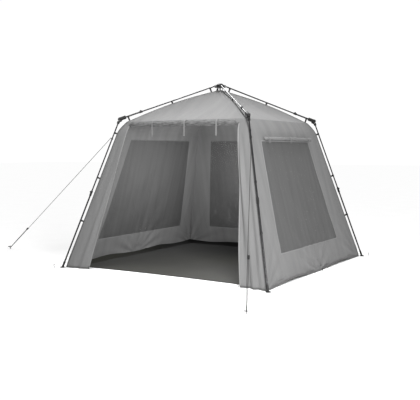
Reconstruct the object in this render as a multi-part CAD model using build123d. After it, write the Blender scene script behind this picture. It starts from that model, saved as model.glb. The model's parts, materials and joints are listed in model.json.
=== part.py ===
"""Screen house: a square shelter with an umbrella frame outside its cloth.

Millimetres, +Z up. The ground is Z = 0, the hub's axis is X = Y = 0, and the door faces -Y.
Four roof arms are hinged at the hub and four legs at the elbows. One corner of the frame is
drawn in the plane Y = 0 with its foot along +X, and is then turned into its place.
"""

import os
from math import acos, cos, degrees, pi, radians, sin, sqrt, tan

from build123d import *

# --- Overall sizes --------------------------------------------------------------------------
foot_spacing = 2800.0  # between neighbouring feet
elbow_spacing = 1792.0  # between neighbouring elbows
elbow_height = 1806.0
hub_pivot_height = 2235.0

# --- Frame tubes ----------------------------------------------------------------------------
pole_radius = 8.0
pole_wall = 1.0
sleeve_gap = 0.5  # between a pole and the bore of its sleeve
sleeve_wall = 1.0
slide_gap = 0.08  # radial running gap of a pole in a collar
bush_gap = 0.1
bush_length = 25.0
roof_sleeve_length = 266.0
roof_stroke = 180.0
leg_sleeve_start = 975.0  # from the elbow corner down to the sleeve's mouth
leg_overlap = 85.0
stroke_reserve = 10.0

# --- Hub ------------------------------------------------------------------------------------
hub_pivot_radius = 60.0
hub_core_radius = 44.0
hub_plate_radius = 70.0
hub_plate_thickness = 5.0
hub_drop = 14.0  # from the pivots down to the plate
hub_cheek_radius = 13.0
hub_cheek_wall = 5.0
hub_slot_half = 9.0
hub_cap_radius = 42.0
hub_cap_rim = 5.0
hub_cap_dome = 16.0
eye_radius = 11.0
eye_side_gap = 0.2
pole_start = 17.0  # from the hub pivot to the pole's tube
pin_radius = 3.0
pin_gap = 0.05
pin_head_radius = 5.5
pin_head_height = 2.0

# --- Elbows ---------------------------------------------------------------------------------
pivot_offset = 22.0  # from each tube's axis to the elbow's pivot
housing_radius = 22.0
knuckle_radius = 16.0
socket_length = 54.0
knuckle_length = 34.0  # of the leg's socket
tongue_fold_gap = 6.0  # more room in the slot for the folded tongue
socket_start = 16.0  # from the pivot, along the tube
socket_floor = 5.0
cheek_radius = 13.0
cheek_half = 15.0
tongue_half = 7.0
tongue_gap = 0.2
tongue_sweep_gap = 1.0
elbow_pin_radius = 4.0
elbow_head_radius = 7.0
elbow_head_height = 2.5

# --- Locks and feet -------------------------------------------------------------------------
collar_radius = 13.5
collar_lip = 35.0
collar_grip = 30.0
boss_radius = 10.0
boss_height = 18.0
button_radius = 6.0
button_gap = 0.08
button_floor = 11.5
button_top = 22.0
foot_pad_radius = 26.0
foot_pad_height = 10.0
foot_socket_length = 60.0
foot_socket_wall = 3.5
sleeve_lift = 20.0  # from the ground to the leg sleeve's end

# --- Cloth ----------------------------------------------------------------------------------
cloth = 1.0
mesh = 0.6
hem_gap = 35.0  # from the line between two feet in to the hem
eave_gap = 69.0  # from the line between two elbows in to the eave
eave_drop = 28.0  # from the elbows down to the eaves
shoulder_drop = 158.0  # from the eaves down to where the walls begin
shoulder_flare = 92.0  # from the eaves out to where the walls begin
apex_drop = 50.0  # from the hub's pivots down to the roof's top
door_top_drop = 58.0  # from the eaves down to the door's top
door_top_margin = 62.0  # of cloth beside the door, at the eaves
door_foot_margin = 317.0  # of cloth beside the door, at the hem
sheet_gap = 15.0  # from the hem in to the groundsheet
sheet_front_gap = 133.0
window_top_drop = 90.0  # from the walls' top down to the windows
window_foot_height = 320.0
window_margins = {"right": (324.0, 487.0), "left": (284.0, 357.0), "back": (244.0, 337.0)}
door_roll_radius = 36.0
door_roll_inset = 30.0  # from the door's corner in to the roll's end
door_roll_rise = 16.0  # from the door's top up to the roll's axis
window_roll_radius = 24.0
window_roll_reach = 20.0  # from the window's corner out to the roll's end
window_roll_rise = 30.0
tie_width = 16.0
tie_thickness = 1.4
tie_gap = 0.4
door_tie_insets = (358.0, 229.0)  # from the roll's ends in to the outer ties
door_tie_middle = 77.0
door_tie_tail = 110.0
window_tie_insets = (80.0, 110.0)
window_tie_tail = 30.0

# --- Clips, straps and pegs -----------------------------------------------------------------
roof_clip_places = (75.0, 594.0)  # along a roof arm, from the hub pivot
roof_clip_inset = 109.0  # from the elbow corner back to the last clip
leg_clip_places = (178.0, 764.0, 1325.0)  # along a leg, from the elbow corner
clip_wall = 3.0
clip_gap = 0.3
clip_width = 22.0
clip_lug = 6.0
clip_mouth = 9.0
strap_width = 20.0
strap_thickness = 1.6
strap_end_gap = 4.5
peg_radius = 3.0
peg_height = 42.0
peg_lean = 20.0
peg_hook = 20.0
foot_peg_gap = 90.0
door_peg_gap = 30.0  # from the front's hem in to the peg's hook
door_peg_inset = 24.0  # from the door's edge in to its peg
wall_peg_gap = 37.0  # from a wall's hem out to its peg

# --- Guy lines ------------------------------------------------------------------------------
guy_radius = 3.0
guy_ring_place = 259.0  # along a leg, from the elbow corner
guy_ring_wall = 4.0
guy_ring_width = 12.0
guy_eye_radius = 7.0
guy_eye_wire = 2.0
guy_peg_radius = 4.0
guy_peg_height = 48.0
guy_peg_bar = 50.0
guy_peg_bar_radius = 5.0
guy_loop_height = 16.0
guy_runner_share = {"front_left": 0.80, "front_right": 0.73}  # of the way to the peg
guy_runner_size = (18.0, 9.0, 44.0)
guy_ground = {"front_left": (-3180.0, -614.0), "front_right": (1660.0, -2327.0)}

corners = {"front_left": 225.0, "front_right": 315.0, "back_right": 45.0, "back_left": 135.0}
sides = {"front": 0.0, "right": 90.0, "back": 180.0, "left": 270.0}

# --- Places that follow from the sizes, in the plane of one corner ----------------------------
diagonal = 1 / sqrt(2)
hub_pivot = Vector(hub_pivot_radius, 0, hub_pivot_height)
elbow = Vector(elbow_spacing * diagonal, 0, elbow_height)
foot = Vector(foot_spacing * diagonal, 0, 0)
arm_line = (elbow - hub_pivot).normalized()
leg_line = (foot - elbow).normalized()
arm_length = (elbow - hub_pivot).length
leg_length = (foot - elbow).length
half_bend = acos((arm_line * -1).dot(leg_line)) / 2
inward = (leg_line - arm_line).normalized()
elbow_pivot = elbow + inward * (pivot_offset / sin(half_bend))
pivot_back = pivot_offset / tan(half_bend)  # from the corner to the pivot's foot on each axis
pole_bore = pole_radius - pole_wall
sleeve_bore = pole_radius + sleeve_gap
sleeve_radius = sleeve_bore + sleeve_wall
roof_sleeve_end = arm_length - pivot_back - socket_start - socket_floor
roof_sleeve_start = roof_sleeve_end - roof_sleeve_length
roof_pole_end = roof_sleeve_end - roof_stroke - stroke_reserve
leg_pole_start = pivot_back + socket_start + socket_floor
leg_sleeve_end = leg_length - sleeve_lift / -leg_line.Z
hem_spacing = foot_spacing - 2 * hem_gap
eave_spacing = elbow_spacing - 2 * eave_gap
eave_height = elbow_height - eave_drop
shoulder_spacing = eave_spacing + 2 * shoulder_flare
shoulder_height = eave_height - shoulder_drop
apex_height = hub_pivot_height - apex_drop
door_top_height = eave_height - door_top_drop
door_top_half = eave_spacing / 2 - door_top_margin
door_foot_half = hem_spacing / 2 - door_foot_margin
window_top_height = shoulder_height - window_top_drop
door_roll_half = door_top_half - door_roll_inset
door_roll_height = door_top_height + door_roll_rise
window_roll_height = window_top_height + window_roll_rise
cloth_corner = [
    Vector(0, 0, apex_height),
    Vector(eave_spacing * diagonal, 0, eave_height),
    Vector(shoulder_spacing * diagonal, 0, shoulder_height),
    Vector(hem_spacing * diagonal, 0, 0),
]


def arm_plane(place):
    """The plane square to a roof arm at a distance from the hub pivot; its Y is the outer side."""
    return Plane(origin=hub_pivot + arm_line * place, x_dir=(0, 1, 0), z_dir=arm_line)


def leg_plane(place):
    """The plane square to a leg at a distance from the elbow corner; its Y is the outer side."""
    return Plane(origin=elbow + leg_line * place, x_dir=(0, 1, 0), z_dir=leg_line)


def rod(plane, start, end, radius):
    """A solid round bar along a plane's normal."""
    low = (Align.CENTER, Align.CENTER, Align.MIN)
    return plane * Pos(0, 0, start) * Cylinder(radius, end - start, align=low)


def tube(plane, start, end, radius, bore):
    return rod(plane, start, end, radius) - rod(plane, start - 1, end + 1, bore)


def cross_pin(point, radius, half):
    """A round bar across the corner's plane, centred on a point."""
    across = Plane(origin=point, x_dir=(1, 0, 0), z_dir=(0, 1, 0))
    return rod(across, -half, half, radius)


def plate(points, low, high):
    """A flat plate in the corner's plane, from Y = low to Y = high."""
    outline = Face(Wire.make_polygon([Vector(p.X, low, p.Z) for p in points], close=True))
    return extrude(outline, amount=high - low, dir=(0, 1, 0))


def both(make):
    """A piece and its mirror image across the corner's plane."""
    return make(1) + make(-1)


def rivet(point, half, radius, head_radius, head_height):
    """A riveted pin: a shank with a flat head at each side."""
    shank = cross_pin(point, radius, half)
    heads = [
        cross_pin(point + Vector(0, s * (half + head_height / 2), 0), head_radius, head_height / 2)
        for s in (1, -1)
    ]
    return shank + heads[0] + heads[1]


# --- Hub ------------------------------------------------------------------------------------
def hub_lug():
    """Two cheeks that carry one roof arm's pin."""
    drop = Vector(0, 0, -hub_drop)
    rise = Vector(0, 0, hub_cheek_radius)
    root = Vector(hub_core_radius - 6, 0, hub_pivot_height)

    def cheek(side):
        low = hub_slot_half if side > 0 else -hub_slot_half - hub_cheek_wall
        block = plate([root + drop, hub_pivot + drop, hub_pivot + rise, root + rise],
                      low, low + hub_cheek_wall)
        middle = hub_pivot + Vector(0, low + hub_cheek_wall / 2, 0)
        return block + cross_pin(middle, hub_cheek_radius, hub_cheek_wall / 2)

    return both(cheek)


def hub_body():
    level = Plane.XY.offset(hub_pivot_height)
    bottom = -hub_drop - hub_plate_thickness
    body = rod(level, bottom, hub_cheek_radius, hub_core_radius)
    body += rod(level, bottom, -hub_drop, hub_plate_radius)
    for angle in corners.values():
        body += Rot(Z=angle) * hub_lug()
        bore = cross_pin(hub_pivot, pin_radius + pin_gap, hub_slot_half + hub_cheek_wall + 1)
        body -= Rot(Z=angle) * bore
    return body


def hub_cap():
    """A shallow dome on a short rim."""
    sphere_radius = (hub_cap_radius**2 + hub_cap_dome**2) / (2 * hub_cap_dome)
    base = Plane.XY.offset(hub_pivot_height + hub_cheek_radius)
    middle = hub_cap_rim + hub_cap_dome - sphere_radius
    dome = base * Pos(0, 0, middle) * Sphere(sphere_radius)
    return rod(base, 0, hub_cap_rim + hub_cap_dome, hub_cap_radius) & dome


def hub_pins():
    half = hub_slot_half + hub_cheek_wall
    pin = rivet(hub_pivot, half, pin_radius, pin_head_radius, pin_head_height)
    return [Rot(Z=angle) * pin for angle in corners.values()]


# --- Roof arm -------------------------------------------------------------------------------
def roof_pole():
    """The inner tube: an eye at the hub end and a bush inside the sleeve."""
    axis = arm_plane(0)
    body = tube(axis, pole_start, roof_pole_end, pole_radius, pole_bore)
    body += rod(axis, 0, pole_start + 20, pole_bore)
    body += cross_pin(hub_pivot, eye_radius, hub_slot_half - eye_side_gap)
    body += tube(axis, roof_pole_end - bush_length, roof_pole_end, sleeve_bore - bush_gap, pole_bore)
    return body - cross_pin(hub_pivot, pin_radius + pin_gap, hub_slot_half)


def button_bore(plane):
    """The bore that a lock button slides in, out of a collar's outer side."""
    return rod(outer_side(plane), 0, boss_height + 1, button_radius + button_gap)


def outer_side(plane):
    """The plane that looks out of a tube's outer side."""
    return Plane(origin=plane.origin, x_dir=plane.x_dir, z_dir=plane.y_dir)


def lock_boss(plane):
    return rod(outer_side(plane), 0, boss_height, boss_radius)


def lock_button(plane):
    stem = rod(outer_side(plane), button_floor, button_top, button_radius)
    return fillet(stem.edges().group_by(Axis(plane.origin, plane.y_dir))[-1], 1.5)


def roof_lock_place():
    return arm_plane(roof_sleeve_start + collar_lip / 2)


def roof_sleeve():
    """The outer tube by the elbow, with a swelled mouth that carries the lock button."""
    axis = arm_plane(0)
    mouth = roof_sleeve_start + collar_lip
    body = rod(axis, roof_sleeve_start, roof_sleeve_end, sleeve_radius)
    body += rod(axis, roof_sleeve_start, mouth + 5, collar_radius)
    body += lock_boss(roof_lock_place())
    body -= rod(axis, mouth, roof_sleeve_end + 1, sleeve_bore)
    body -= button_bore(roof_lock_place())
    return body - rod(axis, roof_sleeve_start - 1, mouth + 1, pole_radius + slide_gap)


# --- Elbow ----------------------------------------------------------------------------------
def on_arm(along, inner):
    """A point by the elbow: along the arm from the pivot, and in from the arm's axis."""
    return elbow - arm_line * pivot_back + arm_line * along - arm_plane(0).y_dir * inner


def on_leg(along, outer):
    """A point by the elbow: down the leg from the pivot, and out from the pivot."""
    return elbow_pivot + leg_line * along + leg_plane(0).y_dir * outer


def elbow_housing():
    """The arm's half: a socket, a round nose and two cheeks round the pivot."""
    axis = arm_plane(0)
    reach = arm_length - pivot_back
    body = rod(axis, reach - socket_start - socket_length, arm_length, housing_radius)
    body += cross_pin(elbow, housing_radius, cheek_half)
    body += cross_pin(elbow_pivot, cheek_radius, cheek_half)
    body += plate([on_arm(-cheek_radius, 0), on_arm(cheek_radius, 0),
                   on_arm(cheek_radius, pivot_offset), on_arm(-cheek_radius, pivot_offset)],
                  -cheek_half, cheek_half)
    stop = leg_plane(pivot_back + socket_start - 1)
    body -= rod(stop, 0, 4 * housing_radius, 3 * housing_radius)
    sweep = cheek_radius + tongue_sweep_gap
    slot = tongue_half + tongue_gap
    body -= cross_pin(elbow_pivot, sweep + tongue_fold_gap, slot)
    body -= plate([on_leg(0, -sweep), on_leg(0, sweep),
                   on_leg(2 * sweep, sweep), on_leg(2 * sweep, -sweep)], -slot, slot)
    body -= cross_pin(elbow_pivot, elbow_pin_radius + pin_gap, cheek_half + 1)
    body -= rod(axis, reach - socket_start - socket_length - 1, roof_sleeve_end, sleeve_radius)
    pin = rivet(elbow_pivot, cheek_half + pin_gap, elbow_pin_radius,
                elbow_head_radius, elbow_head_height)
    return [body, pin]


def elbow_knuckle():
    """The leg's half: a socket and a tongue that turns between the cheeks."""
    axis = leg_plane(0)
    start = pivot_back + socket_start
    body = rod(axis, start, start + knuckle_length, knuckle_radius)
    body += cross_pin(elbow_pivot, cheek_radius, tongue_half)
    far = socket_start + 12
    near = pivot_offset - knuckle_radius
    body += plate([on_leg(0, -cheek_radius), on_leg(0, cheek_radius),
                   on_leg(far, cheek_radius), on_leg(far, near)], -tongue_half, tongue_half)
    body -= rod(axis, leg_pole_start, start + knuckle_length + 1, pole_radius)
    return body - cross_pin(elbow_pivot, elbow_pin_radius + pin_gap, tongue_half + 1)


# --- Leg ------------------------------------------------------------------------------------
def leg_pole():
    axis = leg_plane(0)
    end = leg_sleeve_start + leg_overlap
    body = tube(axis, leg_pole_start, end, pole_radius, pole_bore)
    return body + tube(axis, end - bush_length, end, sleeve_bore - bush_gap, pole_bore)


def leg_sleeve():
    return tube(leg_plane(0), leg_sleeve_start, leg_sleeve_end, sleeve_radius, sleeve_bore)


def leg_lock_place():
    return leg_plane(leg_sleeve_start - collar_lip / 2)


def leg_collar():
    """A moulded collar on the sleeve's mouth, with the boss for the lock button."""
    axis = leg_plane(0)
    body = rod(axis, leg_sleeve_start - collar_lip, leg_sleeve_start + collar_grip, collar_radius)
    body += lock_boss(leg_lock_place())
    body -= rod(axis, leg_sleeve_start, leg_sleeve_start + collar_grip + 1, sleeve_radius)
    body -= button_bore(leg_lock_place())
    return body - rod(axis, 0, leg_sleeve_start + 1, pole_radius + slide_gap)


def foot_cap():
    """A flat round pad with a socket that leans with the leg."""
    ground = Box(400, 400, 200, align=(Align.CENTER, Align.CENTER, Align.MAX))
    socket = rod(leg_plane(0), leg_sleeve_end - foot_socket_length, leg_length + 20,
                 sleeve_radius + foot_socket_wall)
    pad = rod(Plane.XY.offset(0), 0, foot_pad_height, foot_pad_radius)
    body = socket + Pos(foot.X, 0, 0) * pad
    body -= Pos(foot.X, 0, 0) * ground
    return body - rod(leg_plane(0), leg_sleeve_end - foot_socket_length - 1, leg_sleeve_end,
                      sleeve_radius)


# --- Cloth ----------------------------------------------------------------------------------
def cloth_half(height):
    """Half the side of the cloth at a height: the band under the eaves, and the walls below it."""
    if height >= shoulder_height:
        share = (eave_height - height) / (eave_height - shoulder_height)
        return (eave_spacing + share * (shoulder_spacing - eave_spacing)) / 2
    share = (shoulder_height - height) / shoulder_height
    return (shoulder_spacing + share * (hem_spacing - shoulder_spacing)) / 2


def door_half(height):
    share = (door_top_height - height) / door_top_height
    return door_top_half + share * (door_foot_half - door_top_half)


def side_point(across, height):
    """A point of the front's cloth."""
    return Vector(across, -cloth_half(height), height)


def sewn(points, thickness):
    """A flat piece of cloth on these corners, thickened outwards."""
    face = Face(Wire.make_polygon(points, close=True))
    out = face.normal_at()
    middle = face.center()
    if out.dot(middle - Vector(0, 0, eave_height / 2)) < 0:
        out = out * -1
    return extrude(face, amount=thickness, dir=out)


def panel(shape, thickness=cloth):
    """A piece of the front's cloth from (across, height) corners."""
    return sewn([side_point(x, z) for x, z in shape], thickness)


def band(low, high, left, right):
    """A piece between two heights, whose sides follow the given edge rules."""
    return panel([(left(low), low), (right(low), low), (right(high), high), (left(high), high)])


def minus(rule):
    return lambda height: -rule(height)


def roof_canopy():
    """Four roof panels and the band below the eaves, which the door leaves open at the front."""
    half = eave_spacing / 2
    eave = [side_point(-half, eave_height), side_point(half, eave_height)]
    top = sewn([*eave, Vector(0, 0, apex_height)], cloth)
    skirt = band(shoulder_height, eave_height, minus(cloth_half), cloth_half)
    pieces = [Rot(Z=angle) * top for angle in sides.values()]
    pieces += [Rot(Z=angle) * skirt for name, angle in sides.items() if name != "front"]
    pieces.append(band(door_top_height, eave_height, minus(cloth_half), cloth_half))
    pieces.append(band(shoulder_height, door_top_height, minus(cloth_half), minus(door_half)))
    pieces.append(band(shoulder_height, door_top_height, door_half, cloth_half))
    return pieces


def front_wall():
    return [
        band(0, shoulder_height, minus(cloth_half), minus(door_half)),
        band(0, shoulder_height, door_half, cloth_half),
    ]


def window_half(name):
    """Half a window's width at its top and at its foot."""
    top_margin, low_margin = window_margins[name]
    return cloth_half(window_top_height) - top_margin, cloth_half(window_foot_height) - low_margin


def window_roll_half():
    return window_half("right")[0] + window_roll_reach


def window(name, thickness):
    top, low = window_half(name)
    return panel([(-low, window_foot_height), (low, window_foot_height),
                  (top, window_top_height), (-top, window_top_height)], thickness)


def wall(name):
    whole = band(0, shoulder_height, minus(cloth_half), cloth_half)
    return Rot(Z=sides[name]) * (whole - window(name, 3 * cloth))


def mesh_windows():
    return [Rot(Z=sides[name]) * window(name, mesh) for name in window_margins]


def groundsheet():
    half = hem_spacing / 2 - sheet_gap
    front = hem_spacing / 2 - sheet_front_gap
    width = 2 * half
    depth = half + front
    sheet = Box(width, depth, cloth, align=(Align.CENTER, Align.MIN, Align.MIN))
    return Pos(0, -front, 0) * sheet


def roll_line(height, radius):
    """The axis of a roll that lies against the front's cloth, clear of its ties."""
    slope = (cloth_half(height - radius) - cloth_half(height + radius)) / (2 * radius)
    away = (radius + tie_thickness + 2 * tie_gap + cloth) * sqrt(1 + slope**2)
    return Plane(origin=(0, -cloth_half(height) - away, height), x_dir=(0, 1, 0), z_dir=(1, 0, 0))


def roll(height, radius, half):
    return rod(roll_line(height, radius), -half, half, radius)


def tie(height, radius, place, tail):
    """A webbing loop round a roll, with its end hanging."""
    line = roll_line(height, radius)
    inner = radius + tie_gap
    loop = tube(line, place - tie_width / 2, place + tie_width / 2, inner + tie_thickness, inner)
    front = line.origin.Y - inner - tie_thickness
    hang = Box(tie_width, tie_thickness, inner + tail,
               align=(Align.CENTER, Align.MIN, Align.MAX))
    return loop + Pos(place, front, height) * hang


def tie_straps():
    left_inset, right_inset = door_tie_insets
    places = (left_inset - door_roll_half, door_tie_middle, door_roll_half - right_inset)
    ties = [tie(door_roll_height, door_roll_radius, x, door_tie_tail) for x in places]
    left_inset, right_inset = window_tie_insets
    for x in (left_inset - window_roll_half(), 0.0, window_roll_half() - right_inset):
        piece = tie(window_roll_height, window_roll_radius, x, window_tie_tail)
        ties.append(Rot(Z=sides["right"]) * piece)
    return ties


# --- Clips and straps -----------------------------------------------------------------------
def cloth_distance(plane):
    """How far in from a tube's axis the cloth's corner line lies."""
    inwards = plane.y_dir * -1
    for a, b in zip(cloth_corner, cloth_corner[1:]):
        run = b - a
        gap = a - plane.origin
        turn = inwards.X * run.Z - inwards.Z * run.X
        reach = (gap.X * run.Z - gap.Z * run.X) / turn
        share = (gap.X * inwards.Z - gap.Z * inwards.X) / turn
        if reach > 0 and 0 <= share <= 1:
            return reach
    raise ValueError("a clip has no cloth behind it")


def clip(plane, tube_radius):
    """A snap ring, open on its outer side, with a lug for its strap."""
    inner = tube_radius + clip_gap
    ring = tube(plane, -clip_width / 2, clip_width / 2, inner + clip_wall, inner)
    mouth = Pos(0, inner + clip_wall, 0) * Box(2 * clip_mouth, 2 * clip_wall + inner, clip_width + 2)
    lug = Pos(0, -inner - clip_wall - clip_lug / 2 + 1, 0) * Box(14, clip_lug, clip_width)
    return ring - plane * mouth + plane * lug


def strap(plane, tube_radius):
    """The webbing from a clip's lug to the cloth."""
    start = tube_radius + clip_gap + clip_wall + clip_lug - 1
    end = cloth_distance(plane) - strap_end_gap
    piece = Pos(0, -(start + end) / 2, 0) * Box(strap_thickness, end - start, strap_width)
    return plane * piece


def clip_places():
    """(plane, tube radius) of every clip of one corner."""
    places = []
    for place in (*roof_clip_places, arm_length - roof_clip_inset):
        on_sleeve = place > roof_sleeve_start
        places.append((arm_plane(place), sleeve_radius if on_sleeve else pole_radius))
    for place in leg_clip_places:
        on_sleeve = place > leg_sleeve_start
        places.append((leg_plane(place), sleeve_radius if on_sleeve else pole_radius))
    return places


def foot_strap():
    """The webbing that ties the hem's corner to the foot."""
    start = cloth_corner[-1].X + 2
    end = foot.X - foot_pad_radius - 0.5
    low = (Align.MIN, Align.CENTER, Align.MIN)
    return Pos(start, 0, 3) * Box(end - start, strap_width, strap_thickness, align=low)


def hub_strap():
    """The webbing from the hub's plate to the roof's top."""
    top = hub_pivot_height - hub_drop - hub_plate_thickness
    bottom = apex_height + cloth + 0.5
    return Pos(0, 0, bottom) * Box(strap_width, strap_thickness, top - bottom,
                                   align=(Align.CENTER, Align.CENTER, Align.MIN))


def all_corners(piece):
    return [Rot(Z=angle) * piece for angle in corners.values()]


def pole_clips():
    return [c for spot in clip_places() for c in all_corners(clip(*spot))]


def clip_straps():
    straps = [s for spot in clip_places() for s in all_corners(strap(*spot))]
    return straps + all_corners(foot_strap()) + [hub_strap()]


# --- Pegs -----------------------------------------------------------------------------------
def peg():
    """A hooked wire peg from the ground up, leaning along +X, with its hook turned back."""
    shaft = Plane(origin=(0, 0, 0), x_dir=(0, 1, 0),
                  z_dir=(sin(radians(peg_lean)), 0, cos(radians(peg_lean))))
    body = rod(shaft, -10, peg_height, peg_radius) + shaft * Pos(0, 0, peg_height) * Sphere(peg_radius)
    hook = Plane(origin=shaft.origin + shaft.z_dir * peg_height, x_dir=(0, 1, 0), z_dir=(-1, 0, 0))
    body += rod(hook, 0, peg_hook, peg_radius)
    ground = Box(200, 200, 100, align=(Align.CENTER, Align.CENTER, Align.MAX))
    return body - ground


def ground_pegs():
    pegs = [Rot(Z=angle) * Pos(foot.X + foot_peg_gap, 0, 0) * peg() for angle in corners.values()]
    for name, angle in sides.items():
        if name != "front":
            pegs.append(Rot(Z=angle - 90) * Pos(hem_spacing / 2 + wall_peg_gap, 0, 0) * peg())
    for side in (-1, 1):
        spot = Pos(side * (door_foot_half - door_peg_inset), door_peg_gap - hem_spacing / 2, 0)
        pegs.append(spot * Rot(Z=-90) * peg())
    return pegs


# --- Guy lines ------------------------------------------------------------------------------
def placed(corner, point):
    """A point of one corner's plane, in its place round the hub."""
    angle = radians(corners[corner])
    return Vector(point.X * cos(angle), point.X * sin(angle), point.Z)


def guy_start(corner):
    """The middle of the guy line's eye on the leg."""
    out = pole_radius + guy_ring_wall + guy_eye_radius
    plane = leg_plane(guy_ring_place)
    return placed(corner, plane.origin + plane.y_dir * out)


def guy_loop(corner):
    """The point on the ground peg that the guy line turns round."""
    x, y = guy_ground[corner]
    return Vector(x, y, guy_loop_height)


def guy_frame(corner):
    """(start, loop, direction of the line, level direction across it)."""
    start = guy_start(corner)
    loop = guy_loop(corner)
    line = (loop - start).normalized()
    return start, loop, line, line.cross(Vector(0, 0, 1)).normalized()


def guy_route(corner):
    """Down to the peg, round it, and back up to the runner."""
    start, loop, line, across = guy_frame(corner)
    turn = guy_peg_radius + guy_radius + 0.5
    runner = start + (loop - start) * guy_runner_share[corner]
    return [
        start + line * (guy_eye_radius - guy_eye_wire),
        loop + line * turn + across * turn,
        loop + line * turn - across * turn,
        runner - across * turn,
    ]


def guy_line(corner):
    """The guy line, with an arc of the peg's size at each side of the peg."""
    points = guy_route(corner)
    radius = 0.45 * (points[2] - points[1]).length / tan(pi / 4)
    path = FilletPolyline(*points, radius=[radius, radius])
    section = Plane(origin=points[0], z_dir=points[1] - points[0]) * Circle(guy_radius)
    cord = sweep(section, path=path)
    share = cord.volume / (pi * guy_radius**2 * path.length)
    print(f"guy line {corner}: {path.length:.0f} mm long, arcs of {radius:.1f} mm, fills {share:.4f}")
    return cord


def guy_set(corner):
    """The eye on the leg, the runner and the ground peg of one guy line."""
    start, loop, line, across = guy_frame(corner)
    place = leg_plane(guy_ring_place)
    half = guy_ring_width / 2
    ring = tube(place, -half, half, pole_radius + guy_ring_wall, pole_radius + slide_gap)
    eye_plane = Plane(origin=place.origin + place.y_dir * (pole_radius + guy_ring_wall
                      + guy_eye_radius - guy_eye_wire / 2), x_dir=place.y_dir, z_dir=(0, 1, 0))
    eye = eye_plane * Torus(guy_eye_radius, guy_eye_wire)
    runner_place = start + (loop - start) * guy_runner_share[corner]
    turn = guy_peg_radius + guy_radius + 0.5
    flat = Plane(origin=runner_place - across * (turn / 2), x_dir=across, z_dir=line)
    runner = flat * Box(guy_runner_size[0] + turn, guy_runner_size[1], guy_runner_size[2])
    runner = fillet(runner.edges().filter_by(Axis(flat.origin, flat.y_dir)), 6)
    upright = (Vector(0, 0, 1) - line * line.Z).normalized()
    peg_plane = Plane(origin=loop, x_dir=across, z_dir=upright)
    shaft = rod(peg_plane, -2 * guy_peg_height, guy_peg_height / 2, guy_peg_radius)
    bar_plane = Plane(origin=loop + upright * (guy_peg_height / 2), x_dir=line, z_dir=across)
    bar = rod(bar_plane, -guy_peg_bar / 2, guy_peg_bar / 2, guy_peg_bar_radius)
    low = (Align.CENTER, Align.CENTER, Align.MAX)
    ground = Pos(loop.X, loop.Y, 0) * Box(400, 400, 200, align=low)
    return [Rot(Z=corners[corner]) * (ring + eye), runner, (shaft - ground) + bar]


# --- Nodes ----------------------------------------------------------------------------------
def save(name, shape):
    """Writes one node; a list of shapes becomes a group of separate solids."""
    solids = [s for part in (shape if isinstance(shape, list) else [shape]) for s in part.solids()]
    whole = solids[0] if len(solids) == 1 else Compound(children=solids)
    whole.label = name
    export_step(whole, f"parts/{name}.step")


def corner_nodes():
    """One corner's pieces, each with its name's first part."""
    return {
        "roof_pole": roof_pole(),
        "roof_sleeve": roof_sleeve(),
        "roof_lock": lock_button(roof_lock_place()),
        "elbow_housing": elbow_housing(),
        "elbow_knuckle": elbow_knuckle(),
        "leg_pole": leg_pole(),
        "leg_sleeve": leg_sleeve(),
        "leg_collar": leg_collar(),
        "leg_lock": lock_button(leg_lock_place()),
        "foot": foot_cap(),
    }


def turned(shape, angle):
    if isinstance(shape, list):
        return [Rot(Z=angle) * piece for piece in shape]
    return Rot(Z=angle) * shape


def main():
    os.makedirs("parts", exist_ok=True)
    nodes = {
        "hub_body": hub_body(),
        "hub_cap": hub_cap(),
        "hub_pins": hub_pins(),
        "roof_canopy": roof_canopy(),
        "front_wall": front_wall(),
        "right_wall": wall("right"),
        "back_wall": wall("back"),
        "left_wall": wall("left"),
        "mesh_windows": mesh_windows(),
        "groundsheet": groundsheet(),
        "door_roll": roll(door_roll_height, door_roll_radius, door_roll_half),
        "window_roll": Rot(Z=sides["right"])
        * roll(window_roll_height, window_roll_radius, window_roll_half()),
        "tie_straps": tie_straps(),
        "pole_clips": pole_clips(),
        "clip_straps": clip_straps(),
        "ground_pegs": ground_pegs(),
    }
    pieces = corner_nodes()
    for corner, angle in corners.items():
        for name, piece in pieces.items():
            nodes[f"{name}_{corner}"] = turned(piece, angle)
    for corner in guy_ground:
        nodes[f"guy_line_{corner}"] = guy_line(corner)
        nodes[f"guy_set_{corner}"] = guy_set(corner)
    for name, shape in nodes.items():
        save(name, shape)
    print(f"hub pivot {hub_pivot}, elbow pivot {elbow_pivot}, bend {degrees(2 * half_bend):.3f}")


main()
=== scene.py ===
"""The looks of a screen house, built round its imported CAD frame. Metres, +Z up, door facing -Y."""

import json
from math import atan2, cos, exp, pi, radians, sin, sqrt

import bmesh
import bpy
from mathutils import Matrix, Vector


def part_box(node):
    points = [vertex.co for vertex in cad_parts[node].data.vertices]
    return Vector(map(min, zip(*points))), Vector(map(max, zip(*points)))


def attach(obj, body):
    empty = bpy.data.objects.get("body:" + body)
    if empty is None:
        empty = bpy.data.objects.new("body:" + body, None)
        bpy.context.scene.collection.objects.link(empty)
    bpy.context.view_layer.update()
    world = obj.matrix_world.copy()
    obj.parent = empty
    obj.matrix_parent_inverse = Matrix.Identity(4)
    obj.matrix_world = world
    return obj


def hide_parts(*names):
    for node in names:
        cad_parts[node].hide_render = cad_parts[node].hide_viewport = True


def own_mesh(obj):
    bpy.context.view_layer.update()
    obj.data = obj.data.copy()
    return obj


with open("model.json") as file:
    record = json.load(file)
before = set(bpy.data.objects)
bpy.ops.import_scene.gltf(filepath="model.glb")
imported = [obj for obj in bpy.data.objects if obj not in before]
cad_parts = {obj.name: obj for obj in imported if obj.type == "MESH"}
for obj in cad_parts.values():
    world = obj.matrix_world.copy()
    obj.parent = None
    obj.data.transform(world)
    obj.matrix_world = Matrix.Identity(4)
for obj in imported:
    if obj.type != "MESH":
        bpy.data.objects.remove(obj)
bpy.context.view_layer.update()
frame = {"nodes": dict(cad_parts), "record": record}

# --- Places taken from the frame --------------------------------------------------------------
HEM_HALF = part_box("right_wall")[1].x
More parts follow.
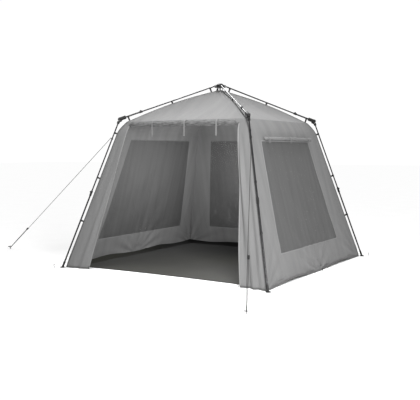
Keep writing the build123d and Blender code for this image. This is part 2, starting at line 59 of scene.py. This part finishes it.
SHOULDER_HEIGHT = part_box("right_wall")[1].z
SHOULDER_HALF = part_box("roof_canopy")[1].x
APEX_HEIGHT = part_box("roof_canopy")[1].z
DOOR_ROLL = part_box("door_roll")
WINDOW_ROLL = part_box("window_roll")
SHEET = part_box("groundsheet")

# --- Sizes of the cloth ------------------------------------------------------------------------
EAVE_HALF = 0.827
EAVE_HEIGHT = 1.778
RIDGE_RISE = 0.034  # of the ridge above a straight line, where its clip lifts it
ROOF_SAG = 0.030
WALL_BOW = 0.016
DOOR_HEM_BOW = 0.092  # of the front's hem inwards, at the door
FABRIC = 0.0006
TAPE_LIFT = 0.0012

SIDES = {"front": 0, "right": 90, "back": 180, "left": 270}
CORNERS = {
    ("front", -1): "front_left", ("front", 1): "front_right",
    ("right", -1): "front_right", ("right", 1): "back_right",
    ("back", -1): "back_right", ("back", 1): "back_left",
    ("left", -1): "back_left", ("left", 1): "front_left",
}
# The opening in each half: top height, foot height, then half width at the top and at the foot.
OPENINGS = {
    ("front", -1): (1.720, 0.0, 0.765, 1.048), ("front", 1): (1.720, 0.0, 0.765, 1.048),
    ("right", -1): (1.530, 0.305, 0.690, 0.850), ("right", 1): (1.530, 0.305, 0.590, 0.790),
    ("back", -1): (1.560, 0.280, 0.700, 0.940), ("back", 1): (1.560, 0.280, 0.710, 0.950),
    ("left", -1): (1.560, 0.300, 0.710, 0.970), ("left", 1): (1.560, 0.300, 0.620, 0.870),
}

# --- Camera ------------------------------------------------------------------------------------
CAMERA_PLACE = Vector((4.484, -7.505, 1.420))
CAMERA_YAW = 0.5531
CAMERA_PITCH = -0.0716
CAMERA_LENS = 58.8


def make_camera():
    data = bpy.data.cameras.new("camera")
    data.lens = CAMERA_LENS
    camera = bpy.data.objects.new("camera", data)
    bpy.context.scene.collection.objects.link(camera)
    look = Vector((-sin(CAMERA_YAW) * cos(CAMERA_PITCH),
                   cos(CAMERA_YAW) * cos(CAMERA_PITCH), sin(CAMERA_PITCH)))
    camera.location = CAMERA_PLACE
    camera.rotation_euler = look.to_track_quat("-Z", "Y").to_euler()
    bpy.context.scene.camera = camera


# --- Materials ---------------------------------------------------------------------------------
def new_material(name, color, roughness):
    material = bpy.data.materials.new(name)
    material.use_nodes = True
    shader = material.node_tree.nodes["Principled BSDF"]
    shader.inputs["Base Color"].default_value = (*color, 1)
    shader.inputs["Roughness"].default_value = roughness
    return material, material.node_tree, shader


def mottled(tree, shader, color, spread, scale):
    """Colour that varies a little from place to place."""
    noise = tree.nodes.new("ShaderNodeTexNoise")
    noise.inputs["Scale"].default_value = scale
    noise.inputs["Detail"].default_value = 6
    place = tree.nodes.new("ShaderNodeTexCoord")
    tree.links.new(place.outputs["Object"], noise.inputs["Vector"])
    ramp = tree.nodes.new("ShaderNodeValToRGB")
    ramp.color_ramp.elements[0].position = 0.3
    ramp.color_ramp.elements[1].position = 0.7
    ramp.color_ramp.elements[0].color = (*[c * (1 - spread) for c in color], 1)
    ramp.color_ramp.elements[1].color = (*[c * (1 + spread) for c in color], 1)
    tree.links.new(noise.outputs["Fac"], ramp.inputs["Fac"])
    tree.links.new(ramp.outputs["Color"], shader.inputs["Base Color"])


def streaked(tree, shader, color, spread, across, along):
    """Colour that varies in streaks down the cloth, over its own coordinates in metres."""
    place = tree.nodes.new("ShaderNodeUVMap")
    place.uv_map = "cloth"
    spacing = tree.nodes.new("ShaderNodeMapping")
    spacing.inputs["Scale"].default_value = (across, along, 1)
    noise = tree.nodes.new("ShaderNodeTexNoise")
    noise.inputs["Scale"].default_value = 1
    noise.inputs["Detail"].default_value = 4
    ramp = tree.nodes.new("ShaderNodeValToRGB")
    ramp.color_ramp.elements[0].position = 0.32
    ramp.color_ramp.elements[1].position = 0.68
    ramp.color_ramp.elements[0].color = (*[c * (1 - spread) for c in color], 1)
    ramp.color_ramp.elements[1].color = (*[c * (1 + spread) for c in color], 1)
    tree.links.new(place.outputs["UV"], spacing.inputs["Vector"])
    tree.links.new(spacing.outputs["Vector"], noise.inputs["Vector"])
    tree.links.new(noise.outputs["Fac"], ramp.inputs["Fac"])
    tree.links.new(ramp.outputs["Color"], shader.inputs["Base Color"])


def waves(tree, direction, pitch):
    """Threads along one direction of the cloth, from its own coordinates in metres."""
    place = tree.nodes.new("ShaderNodeUVMap")
    place.uv_map = "cloth"
    wave = tree.nodes.new("ShaderNodeTexWave")
    wave.bands_direction = direction
    wave.inputs["Scale"].default_value = 0.314 / pitch
    tree.links.new(place.outputs["UV"], wave.inputs["Vector"])
    return wave


def bumped(tree, shader, height, strength, distance):
    bump = tree.nodes.new("ShaderNodeBump")
    bump.inputs["Strength"].default_value = strength
    bump.inputs["Distance"].default_value = distance
    tree.links.new(height, bump.inputs["Height"])
    tree.links.new(bump.outputs["Normal"], shader.inputs["Normal"])


def woven(name, color, pitch, roughness=0.8, spread=0.07, streaks=(9.0, 0.9)):
    """Plain woven cloth: two crossed sets of threads."""
    material, tree, shader = new_material(name, color, roughness)
    shader.inputs["Sheen Weight"].default_value = 0.05
    shader.inputs["Specular IOR Level"].default_value = 0.1
    streaked(tree, shader, color, spread, *streaks)
    both = tree.nodes.new("ShaderNodeMath")
    both.operation = "MULTIPLY"
    tree.links.new(waves(tree, "X", pitch).outputs["Fac"], both.inputs[0])
    tree.links.new(waves(tree, "Y", pitch).outputs["Fac"], both.inputs[1])
    bumped(tree, shader, both.outputs[0], 0.5, 0.0004)
    return material


def netting(name, color, pitch):
    """A fine net: threads with holes between them that let the view through."""
    material, tree, shader = new_material(name, color, 0.7)
    streaked(tree, shader, color, 0.12, 14.0, 0.7)
    both = tree.nodes.new("ShaderNodeMath")
    both.operation = "MAXIMUM"
    tree.links.new(waves(tree, "X", pitch).outputs["Fac"], both.inputs[0])
    tree.links.new(waves(tree, "Y", pitch).outputs["Fac"], both.inputs[1])
    thread = tree.nodes.new("ShaderNodeMath")
    thread.operation = "GREATER_THAN"
    thread.inputs[1].default_value = 0.18
    tree.links.new(both.outputs[0], thread.inputs[0])
    tree.links.new(thread.outputs[0], shader.inputs["Alpha"])
    return material


def moulded(name, color, roughness, grain, metallic=0.0):
    """Moulded plastic or coated metal, with a fine grain and slightly uneven gloss."""
    material, tree, shader = new_material(name, color, roughness)
    shader.inputs["Metallic"].default_value = metallic
    shader.inputs["Specular IOR Level"].default_value = 0.25
    mottled(tree, shader, color, 0.2, 25.0)
    noise = tree.nodes.new("ShaderNodeTexNoise")
    noise.inputs["Scale"].default_value = grain
    place = tree.nodes.new("ShaderNodeTexCoord")
    tree.links.new(place.outputs["Object"], noise.inputs["Vector"])
    bumped(tree, shader, noise.outputs["Fac"], 0.2, 0.0003)
    uneven = tree.nodes.new("ShaderNodeMapRange")
    uneven.inputs["To Min"].default_value = roughness * 0.8
    uneven.inputs["To Max"].default_value = roughness * 1.25
    tree.links.new(noise.outputs["Fac"], uneven.inputs["Value"])
    tree.links.new(uneven.outputs["Result"], shader.inputs["Roughness"])
    return material


# Painted light and shade on the groundsheet: its colour runs from the dark colour at the back, a
# painted shade, to a paler colour towards the door, a painted light from the doorway.
SHEET_DARK = (0.001, 0.001, 0.0009)
SHEET_DOOR_LIT = (0.022, 0.022, 0.018)
SHEET_DOOR_LIGHT_SPAN = (1.0, -1.2)  # the painted light from the doorway grows from the first y to the second


def groundsheet_cloth():
    """Dark coated cloth, painted paler towards the door as painted light from the doorway and
    darkest at the back as painted shade.
    """
    material = woven("groundsheet_cloth", SHEET_DARK, 0.0020, 0.8, 0.25, (3.0, 2.0))
    tree = material.node_tree
    shader = tree.nodes["Principled BSDF"]
    dark = shader.inputs["Base Color"].links[0].from_socket
    place = tree.nodes.new("ShaderNodeTexCoord")
    split = tree.nodes.new("ShaderNodeSeparateXYZ")
    # Painted light from the doorway: the sheet turns paler towards the door, and the back stays dark
    # as painted shade.
    door_light = tree.nodes.new("ShaderNodeMapRange")
    door_light.inputs["From Min"].default_value = SHEET_DOOR_LIGHT_SPAN[0]
    door_light.inputs["From Max"].default_value = SHEET_DOOR_LIGHT_SPAN[1]
    mix = tree.nodes.new("ShaderNodeMix")
    mix.data_type = "RGBA"
    mix.inputs["B"].default_value = (*SHEET_DOOR_LIT, 1)
    tree.links.new(place.outputs["Object"], split.inputs["Vector"])
    tree.links.new(split.outputs["Y"], door_light.inputs["Value"])
    tree.links.new(door_light.outputs["Result"], mix.inputs["Factor"])
    tree.links.new(dark, mix.inputs["A"])
    tree.links.new(mix.outputs["Result"], shader.inputs["Base Color"])
    shader.inputs["Specular IOR Level"].default_value = 0.1
    return material


MATERIALS = {
    "shelter_cloth": woven("shelter_cloth", (0.128, 0.128, 0.128), 0.0012, spread=0.09),
    "seam_tape": woven("seam_tape", (0.080, 0.080, 0.080), 0.0010, spread=0.12),
    "binding": woven("binding", (0.170, 0.170, 0.170), 0.0010, spread=0.10),
    "rolled_cloth": woven("rolled_cloth", (0.095, 0.095, 0.095), 0.0012, spread=0.45,
                          streaks=(60.0, 14.0)),
    "window_mesh": netting("window_mesh", (0.058, 0.058, 0.058), 0.0016),
    "groundsheet_cloth": groundsheet_cloth(),
    "webbing": woven("webbing", (0.15, 0.15, 0.15), 0.0016, spread=0.1),
    "guy_cord": woven("guy_cord", (0.02, 0.02, 0.02), 0.0010),
    "frame_tube": moulded("frame_tube", (0.010, 0.010, 0.011), 0.22, 900),
    "frame_plastic": moulded("frame_plastic", (0.005, 0.005, 0.005), 0.5, 1400),
    "lock_plastic": moulded("lock_plastic", (0.01, 0.01, 0.011), 0.4, 1200),
    "pin_steel": moulded("pin_steel", (0.35, 0.35, 0.35), 0.35, 1500, 1.0),
    "peg_steel": moulded("peg_steel", (0.02, 0.02, 0.02), 0.5, 1500),
}


def dress_frame():
    """Every CAD node takes the material of its slot in the record."""
    for part in frame["record"]["subparts"]:
        data = frame["nodes"][part["node"]].data
        data.materials.clear()
        data.materials.append(MATERIALS[part["material_slot"]])


# --- Mesh helpers ------------------------------------------------------------------------------
def side_turn(side):
    return Matrix.Rotation(radians(SIDES[side]), 3, "Z")


def placed(side, across, out, height):
    """A point given by a side's own directions."""
    return side_turn(side) @ Vector((across, -out, height))


def new_object(name, mesh, materials):
    for material in materials:
        mesh.materials.append(MATERIALS[material])
    mesh.polygons.foreach_set("use_smooth", [True] * len(mesh.polygons))
    piece = bpy.data.objects.new(name, mesh)
    bpy.context.scene.collection.objects.link(piece)
    return piece


class Cloth:
    """Collects quads with cloth coordinates and becomes one object."""

    def __init__(self):
        self.mesh = bmesh.new()
        self.uv = self.mesh.loops.layers.uv.new("cloth")

    def grid(self, rows, flats, material=0, wanted=None):
        verts = [[self.mesh.verts.new(p) for p in row] for row in rows]
        for i in range(len(rows) - 1):
            for j in range(len(rows[0]) - 1):
                if wanted is not None and not wanted(i, j):
                    continue
                spots = [(i, j), (i, j + 1), (i + 1, j + 1), (i + 1, j)]
                face = self.mesh.faces.new([verts[a][b] for a, b in spots])
                face.material_index = material
                for loop, (a, b) in zip(face.loops, spots):
                    loop[self.uv].uv = flats[a][b]

    def tape(self, line, across, out, width, material=1):
        """A narrow strip sewn along a line; across and out are functions of the point's number."""
        rows = []
        for k, point in enumerate(line):
            base = point + out(k) * TAPE_LIFT
            rows.append([base - across(k) * (width / 2), base + across(k) * (width / 2)])
        run = [0.0]
        for a, b in zip(line, line[1:]):
            run.append(run[-1] + (b - a).length)
        self.grid(rows, [[(0.0, s), (width, s)] for s in run], material)

    def finish(self, name, materials):
        loose = [v for v in self.mesh.verts if not v.link_faces]
        bmesh.ops.delete(self.mesh, geom=loose, context="VERTS")
        bmesh.ops.remove_doubles(self.mesh, verts=self.mesh.verts, dist=1e-6)
        data = bpy.data.meshes.new(name)
        self.mesh.to_mesh(data)
        self.mesh.free()
        return new_object(name, data, materials)


# --- Cloth -------------------------------------------------------------------------------------
def cloth_half(height):
    """Half a side's width at a height; it is also how far out the side stands."""
    if height >= SHOULDER_HEIGHT:
        share = (EAVE_HEIGHT - height) / (EAVE_HEIGHT - SHOULDER_HEIGHT)
        return EAVE_HALF + sin(1.25 * share) / sin(1.25) * (SHOULDER_HALF - EAVE_HALF)
    return SHOULDER_HALF + (1 - height / SHOULDER_HEIGHT) * (HEM_HALF - SHOULDER_HALF)


def opening_half(side, half, height):
    top, low, top_half, low_half = OPENINGS[side, half]
    return top_half + (top - height) / (top - low) * (low_half - top_half)


def wall_depth(side, share, height):
    """How far a side stands in from its flat place: bows, curtain folds and pull at the pegs."""
    fall = max(0.0, 1 - height / SHOULDER_HEIGHT)
    taut = 1 - share * share
    depth = WALL_BOW * taut * sin(pi * min(1.0, height / SHOULDER_HEIGHT))
    edge = max(0.0, 1 - abs(share)) * min(1.0, 4 * fall)
    if side == "front":
        depth += DOOR_HEM_BOW * taut * fall**2
        ease = min(1.0, 7 * (1 - abs(share)))
        folds = sin(62 * share + 1.3 * height) + 0.5 * sin(97 * share - 2.2 * height)
        depth += (0.017 if share > 0 else 0.008) * ease * min(1.0, 3 * fall) * folds
    else:
        for peg, size in ((0.0, 0.020), (1.0, 0.014), (-1.0, 0.014)):
            away = (share - peg) * 1.3
            reach = sqrt(away**2 + height**2)
            around = atan2(height, away + 1e-9)
            depth += size * sin(15 * around) * exp(-reach / 0.33) * min(1.0, reach / 0.12)
    return depth + 0.004 * sin(9 * share + 5 * height) * sin(8 * height + 2 * share) * edge


def hem_lift(side, share, height):
    """The hem rises a little between the pegs that hold it."""
    if side == "front":
        return 0.0
    return 0.032 * sin(pi * share) ** 2 * max(0.0, 1 - height / 0.30) ** 2


def wall_point(side, share, height, across=None):
    """share runs from -1 to 1 across the side."""
    half = cloth_half(height)
    x = share * half if across is None else across
    share = x / half
    lift = hem_lift(side, share, height)
    return placed(side, x, half - wall_depth(side, share, height), height + lift)


def row_heights(side, half):
    """Heights from the hem to the eave, with rows on the opening's edges and the shoulder."""
    top, low = OPENINGS[side, half][:2]
    marks = sorted({0.0, low, top, SHOULDER_HEIGHT, EAVE_HEIGHT})
    heights = []
    for a, b in zip(marks, marks[1:]):
        count = max(5, round((b - a) / 0.022))
        heights += [a + (b - a) * k / count for k in range(count)]
    return heights + [EAVE_HEIGHT]


def side_columns(side, half, height):
    """Across positions from the middle to the corner, with a column on the opening's edge."""
    edge = opening_half(side, half, height)
    edge = min(edge, cloth_half(height) - 0.03)
    middle, outer = 24, 24
    inner = [half * edge * k / middle for k in range(middle)]
    rest = [half * (edge + (cloth_half(height) - edge) * k / outer) for k in range(outer + 1)]
    return inner + rest, middle


def fold_with(piece, body):
    """The piece rides on a frame body and gets a mesh of its own."""
    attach(piece, body)
    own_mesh(piece)


def fold_with_leg(piece, side, half):
    fold_with(piece, f"leg_pole_{CORNERS[side, half]}")


def fold_with_arm(piece, side, half):
    fold_with(piece, f"roof_pole_{CORNERS[side, half]}")


def thicken(piece, thickness=FABRIC):
    solid = piece.modifiers.new("thickness", "SOLIDIFY")
    solid.thickness = thickness
    solid.offset = 0
    rims = piece.modifiers.new("rims", "EDGE_SPLIT")
    rims.split_angle = radians(50)


def make_wall(side, half):
    """Half a side, from its middle to its corner, with its window or doorway."""
    top, low = OPENINGS[side, half][:2]
    heights = row_heights(side, half)
    rows, flats = [], []
    for z in heights:
        columns, middle = side_columns(side, half, z)
        rows.append([wall_point(side, 0, z, across=x) for x in columns])
        flats.append([(x, z) for x in columns])
    inside = lambda i, j: j < middle and low - 1e-6 <= heights[i] < top - 1e-6
    out = side_turn(side) @ Vector((0, -1, 0.28)).normalized()
    level = side_turn(side) @ Vector((1, 0, 0))
    up = Vector((0, 0, 1))

    cloth = Cloth()
    if side == "front":
        cloth.grid(rows, flats, wanted=lambda i, j: j >= middle)
    else:
        cloth.grid(rows, flats, wanted=lambda i, j: not inside(i, j))
    first = middle if side == "front" else 0
    cloth.tape([p + up * 0.011 for p in rows[0][first:]], lambda k: up, lambda k: out, 0.022)
    span = [i for i, z in enumerate(heights) if low - 1e-6 <= z <= top + 1e-6]
    cloth.tape([rows[i][middle] for i in span], lambda k: level, lambda k: out, 0.014, 2)
    if side != "front":
        for edge in (span[0], span[-1]):
            cloth.tape(rows[edge][: middle + 1], lambda k: up, lambda k: out, 0.014, 2)
    cloth.tape([row[-1] for row in rows], lambda k: level, lambda k: out, 0.014)
    piece = finish_panel(cloth, f"wall_{side}_{CORNERS[side, half]}", side, half,
                         ["shelter_cloth", "seam_tape", "binding"])
    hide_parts(f"{side}_wall")
    if side == "front":
        band = Cloth()
        band.grid(rows, flats, wanted=lambda i, j: j < middle and not inside(i, j))
        band.tape(rows[span[-1]][: middle + 1], lambda k: up, lambda k: out, 0.024)
        lintel = finish_panel(band, f"lintel_{CORNERS[side, half]}", side, half)
        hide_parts("front_wall")
    else:
        net = Cloth()
        net.grid(rows, flats, wanted=inside)
        window = finish_panel(net, f"net_{side}_{CORNERS[side, half]}", side, half,
                              ["window_mesh"])
        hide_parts("mesh_windows")


def finish_panel(cloth, name, side, half,
                 materials=("shelter_cloth", "seam_tape")):
    piece = cloth.finish(name, materials)
    thicken(piece)
    fold_with_leg(piece, side, half)
    return piece


def roof_point(side, half, share, down):
    """share runs from the panel's middle to its ridge, and down from the apex to the eave."""
    out = EAVE_HALF * down
    height = APEX_HEIGHT + (EAVE_HEIGHT - APEX_HEIGHT) * down
    arch = sin(pi * down)
    height += RIDGE_RISE * arch * share**3 - ROOF_SAG * arch * (1 - share**2)
    place = half * share
    crease = sin(38 * place + 3 * down) * exp(-((1 - down) / 0.16) ** 2)
    crease += sin(31 * place) * exp(-(down / 0.10) ** 2)
    height += 0.0035 * crease * (1 - share**4) * min(1.0, 12 * down) * min(1.0, 12 * (1 - down))
    return placed(side, half * share * out, out, height)


def make_roof(side, half):
    shares = [k / 18 for k in range(19)]
    downs = [0.012 + 0.988 * k / 40 for k in range(41)]
    rows = [[roof_point(side, half, s, d) for s in shares] for d in downs]
    flats = [[(s * d * EAVE_HALF, d) for s in shares] for d in downs]
    cloth = Cloth()
    cloth.grid(rows, flats)
    out = side_turn(side) @ Vector((0, -0.44, 0.9))
    level = side_turn(side) @ Vector((1, half, 0)).normalized()
    cloth.tape([row[-1] for row in rows], lambda k: level, lambda k: out, 0.014)
    piece = cloth.finish(f"roof_{side}_{CORNERS[side, half]}", ["shelter_cloth", "seam_tape"])
    thicken(piece)
    fold_with_arm(piece, side, half)
    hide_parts("roof_canopy")


def make_groundsheet():
    """The floor, bowed in at the door and turned up a little along the walls."""
    low, high = SHEET
    count = 60
    rows, flats = [], []
    for i in range(count + 1):
        row, flat = [], []
        for j in range(count + 1):
            x = low.x + (high.x - low.x) * j / count
            front = low.y + 0.045 * (1 - (x / high.x) ** 2)
            y = front + (high.y - front) * i / count
            z = 0.0016 + 0.0012 * (1 + sin(9 * x + 4 * y) * sin(7 * y - 3 * x))
            beside = min(high.x - abs(x), high.y - y)
            z += (0.045 + 0.012 * sin(6 * (x - y))) * max(0.0, 1 - beside / 0.045)
            row.append(Vector((x, y, z)))
            flat.append((x, y))
        rows.append(row)
        flats.append(flat)
    sheet = Cloth()
    sheet.grid(rows, flats)
    piece = sheet.finish("floor_sheet", ["groundsheet_cloth"])
    thicken(piece)
    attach(piece, "shelter")
    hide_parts("groundsheet")


def roll_size(run, turn, reach, radius):
    """Radius of a roll of soft layers, with a loose flap, lumps and a ragged end."""
    lump = 0.80 + 0.10 * sin(13 * run + 1) * sin(31 * run) + 0.06 * sin(53 * run)
    wound = 1 - ((turn / (2 * pi) + 0.35 * sin(3 * run)) % 1.0)
    layers = 0.86 + 0.16 * wound + 0.04 * sin(7 * turn - 19 * run)
    end = min(1.0, (reach - abs(run)) / (1.2 * radius) + 0.25)
    return radius * min(1.0, lump * layers * sqrt(end) * 1.12)


def make_roll(name, side, half, box, length_axis, material):
    """Half of a rolled flap, from the middle of its side out to its end."""
    low, high = box
    middle = (low + high) / 2
    radius = (high.z - low.z) / 2
    reach = (high[length_axis] - low[length_axis]) / 2
    steps, around = 90, 44
    rows, flats = [], []
    for i in range(steps + 1):
        run = half * reach * i / steps
        row, flat = [], []
        for j in range(around + 1):
            turn = 2 * pi * (j % around) / around
            size = roll_size(run, turn, reach, radius)
            place = Vector(middle)
            place[length_axis] += run
            place.z += size * sin(turn)
            place[1 - length_axis] += size * cos(turn)
            row.append(place)
            flat.append((turn * radius, run))
        rows.append(row)
        flats.append(flat)
    roll = Cloth()
    roll.grid(rows, flats)
    piece = roll.finish(f"{name}_{CORNERS[side, half]}", [material])
    closed = bmesh.new()
    closed.from_mesh(piece.data)
    bmesh.ops.holes_fill(closed, edges=closed.edges, sides=0)
    bmesh.ops.recalc_face_normals(closed, faces=closed.faces)
    closed.to_mesh(piece.data)
    closed.free()
    fold_with_leg(piece, side, half)
    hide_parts(name)


# --- Clips, straps and ties, split by the body that carries them ---------------------------------
def islands(node):
    """The separate solids of a CAD node, each as a bmesh of its own with its middle."""
    whole = bmesh.new()
    whole.from_mesh(frame["nodes"][node].data)
    bmesh.ops.remove_doubles(whole, verts=whole.verts, dist=2e-6)
    left = set(whole.verts)
    found = []
    while left:
        group, queue = set(), [next(iter(sorted(left, key=lambda v: v.index)))]
        while queue:
            vert = queue.pop()
            if vert in group:
                continue
            group.add(vert)
            queue += [e.other_vert(vert) for e in vert.link_edges]
        left -= group
        faces = {f for v in group for f in v.link_faces}
        ordered = sorted(group, key=lambda v: v.index)
        number = {v: k for k, v in enumerate(ordered)}
        points = [v.co.copy() for v in ordered]
        shape = [[number[v] for v in f.verts] for f in sorted(faces, key=lambda f: f.index)]
        found.append((points, shape, sum(points, Vector()) / len(points)))
    whole.free()
    return found


def corner_of(middle):
    return ("front" if middle.y < 0 else "back") + ("_left" if middle.x < 0 else "_right")


def copied(name, solids, material):
    points, faces = [], []
    for some_points, some_faces, _ in solids:
        faces += [[k + len(points) for k in face] for face in some_faces]
        points += some_points
    mesh = bpy.data.meshes.new(name)
    mesh.from_pydata(points, [], faces)
    uv = mesh.uv_layers.new(name="cloth")
    for loop in mesh.loops:
        co = mesh.vertices[loop.vertex_index].co
        uv.data[loop.index].uv = (co.x + co.y, co.z + co.y)
    piece = new_object(name, mesh, [material])
    mesh.set_sharp_from_angle(angle=radians(35))
    bevel = piece.modifiers.new("edges", "BEVEL")
    bevel.width = 0.0004
    bevel.segments = 2
    bevel.limit_method = "ANGLE"
    return piece


def clip_bodies(middle):
    """The body that a clip or strap rides on."""
    if sqrt(middle.x**2 + middle.y**2) < 0.01:
        return "shelter"
    if middle.z < 0.03:
        return f"leg_sleeve_{corner_of(middle)}"
    on_arm = middle.z > 1.80
    return ("roof_pole_" if on_arm else "leg_pole_") + corner_of(middle)


def make_clips(node, name, material):
    groups = {}
    for solid in islands(node):
        groups.setdefault(clip_bodies(solid[2]), []).append(solid)
    for body, solids in sorted(groups.items()):
        piece = copied(f"{name}_{body}", solids, material)
        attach(piece, body)
        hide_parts(node)


def make_ties():
    for number, solid in enumerate(islands("tie_straps")):
        middle = solid[2]
        side = "front" if middle.y < -abs(middle.x) else "right"
        across = middle.x if side == "front" else middle.y
        half = -1 if across < -0.01 else 1
        piece = copied(f"tie_{number}_{side}", [solid], "webbing")
        fold_with_leg(piece, side, half)
        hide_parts("tie_straps")


# --- Guy lines -----------------------------------------------------------------------------------
GUY_RADIUS = 0.003
GUY_LENGTHS = {"front_left": 3.286, "front_right": 2.777}
GUY_ROUTES = {
    "front_left": [(-0.97978, -0.97507, 1.56920), (-3.18486, -0.60560, 0.01171),
                   (-3.18729, -0.62040, 0.01171), (-2.74036, -0.69375, 0.32721)],
    "front_right": [(0.97730, -0.97884, 1.56848), (1.65567, -2.33506, 0.01063),
                    (1.66905, -2.32828, 0.01063), (1.48194, -1.95877, 0.43614)],
}


def make_guy_line(corner):
    """A cord from the eye on its leg, round the peg and back to the runner."""
    points = [Vector(p) for p in GUY_ROUTES[corner]]
    data = bpy.data.curves.new(f"guy_{corner}", "CURVE")
    data.dimensions = "3D"
    data.bevel_depth = GUY_RADIUS
    data.bevel_resolution = 3
    data.resolution_u = 64
    spline = data.splines.new("NURBS")
    spline.points.add(len(points) - 1)
    for point, place in zip(spline.points, points):
        point.co = (*place, 1)
    spline.order_u = 3
    spline.use_endpoint_u = True
    data.materials.append(MATERIALS["guy_cord"])
    piece = bpy.data.objects.new(f"guy_{corner}", data)
    bpy.context.scene.collection.objects.link(piece)
    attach(piece, f"leg_pole_{corner}")
    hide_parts(f"guy_line_{corner}")


# --- Light and floor -----------------------------------------------------------------------------
def make_light(name, place, aim, size, power, spread):
    """A soft box that the camera doesn't see."""
    data = bpy.data.lights.new(name, "AREA")
    data.size = size
    data.energy = power
    data.spread = radians(spread)
    light = bpy.data.objects.new(name, data)
    light.location = place
    light.rotation_euler = (Vector(aim) - Vector(place)).to_track_quat("-Z", "Y").to_euler()
    light.visible_camera = False
    bpy.context.scene.collection.objects.link(light)


WORLD_STRENGTH = 1.02
FLOOR_COLOR = (0.96, 0.96, 0.96)
FLOOR_REACH = 60.0
LAMP_POWER = 60
LAMP_SIZE = 0.25
LAMP_PLACE = (0, 0.1, 0.85)


def make_studio():
    """White surroundings, three soft boxes outside and one small lamp in the shelter."""
    world = bpy.data.worlds.new("studio")
    world.use_nodes = True
    world.node_tree.nodes["Background"].inputs["Color"].default_value = (1, 1, 1, 1)
    world.node_tree.nodes["Background"].inputs["Strength"].default_value = WORLD_STRENGTH
    bpy.context.scene.world = world
    bpy.context.scene.view_settings.view_transform = "Standard"
    make_light("above", (0.0, -0.8, 6.0), (0, -0.3, 2), 2.6, 28, spread=30)
    make_light("behind", (-3.5, 3.3, 6.9), (0.6, -0.6, 2.0), 2.4, 25, spread=40)
    make_light("side", (3.3, -3.9, 1.9), (0.9, -1.1, 1.0), 1.2, 100, spread=110)
    lamp = bpy.data.lights.new("inside", "POINT")
    lamp.energy = LAMP_POWER
    lamp.shadow_soft_size = LAMP_SIZE
    inside = bpy.data.objects.new("inside", lamp)
    inside.location = LAMP_PLACE
    inside.visible_camera = False
    bpy.context.scene.collection.objects.link(inside)
    mesh = bpy.data.meshes.new("floor")
    reach = FLOOR_REACH
    mesh.from_pydata([(-reach, -reach, 0), (reach, -reach, 0), (reach, reach, 0),
                      (-reach, reach, 0)], [], [(0, 1, 2, 3)])
    floor = bpy.data.objects.new("floor", mesh)
    bpy.context.scene.collection.objects.link(floor)
    material, tree, shader = new_material("floor", FLOOR_COLOR, 1.0)
    shader.inputs["Specular IOR Level"].default_value = 0.0
    mottled(tree, shader, FLOOR_COLOR, 0.01, 2.0)
    mesh.materials.append(material)


make_camera()
for guy_corner in GUY_LENGTHS:
    make_guy_line(guy_corner)
dress_frame()
for wall_side, wall_half in CORNERS:
    make_wall(wall_side, wall_half)
    make_roof(wall_side, wall_half)
for roll_half in (-1, 1):
    make_roll("door_roll", "front", roll_half, DOOR_ROLL, 0, "rolled_cloth")
    make_roll("window_roll", "right", roll_half, WINDOW_ROLL, 1, "shelter_cloth")
make_groundsheet()
make_ties()
make_clips("pole_clips", "clip", "frame_plastic")
make_clips("clip_straps", "strap", "frame_plastic")
make_studio()
